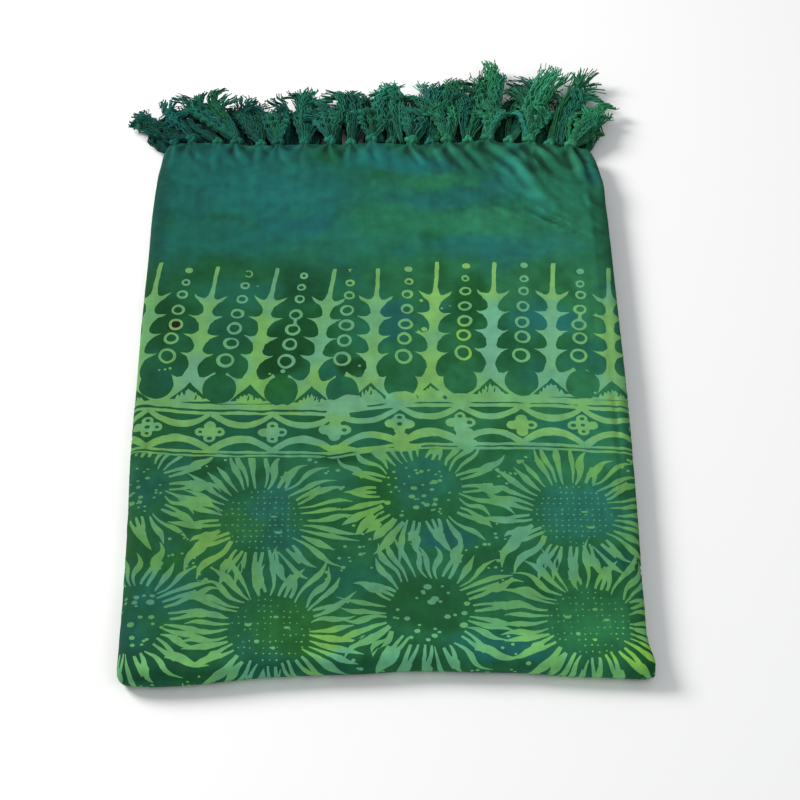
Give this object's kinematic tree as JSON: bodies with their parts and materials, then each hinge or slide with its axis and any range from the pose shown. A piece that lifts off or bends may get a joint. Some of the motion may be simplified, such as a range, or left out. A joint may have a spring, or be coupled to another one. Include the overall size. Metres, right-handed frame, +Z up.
{
  "type": "folded batik sarong",
  "caption": "Rectangular rayon batik sarong folded flat into a neat pile, stamped border and sun motifs in light green on teal, with knotted fringe at the far end.",
  "frame": {"origin": "bottom centre of the whole part's box, on the surface that it lies on", "axes": "+X across the folded cloth, +Y along it towards the fringe, +Z up out of the pile"},
  "size_m": [0.311, 0.4896, 0.0154],
  "materials": {
    "batik_cloth": "soft woven rayon with a faint sheen, teal and green dye, light green batik motifs",
    "batik_cloth_inside": "soft woven rayon, teal dye, edges of the folded layers",
    "fringe_thread": "matte crinkled rayon threads"
  },
  "bodies": {
    "root": {"outer_layer": "batik_cloth", "folded_layers": "batik_cloth_inside", "fringe_under": "fringe_thread", "tassel_a01": "fringe_thread", "tassel_a02": "fringe_thread", "tassel_a03": "fringe_thread", "tassel_a04": "fringe_thread", "tassel_a05": "fringe_thread", "tassel_a06": "fringe_thread", "tassel_a07": "fringe_thread", "tassel_a08": "fringe_thread", "tassel_a09": "fringe_thread", "tassel_a10": "fringe_thread", "tassel_b01": "fringe_thread", "tassel_b02": "fringe_thread", "tassel_b03": "fringe_thread", "tassel_b04": "fringe_thread", "tassel_b05": "fringe_thread", "tassel_b06": "fringe_thread", "tassel_b07": "fringe_thread", "tassel_b08": "fringe_thread", "tassel_b09": "fringe_thread", "tassel_b10": "fringe_thread"}
  },
  "joints": []
}
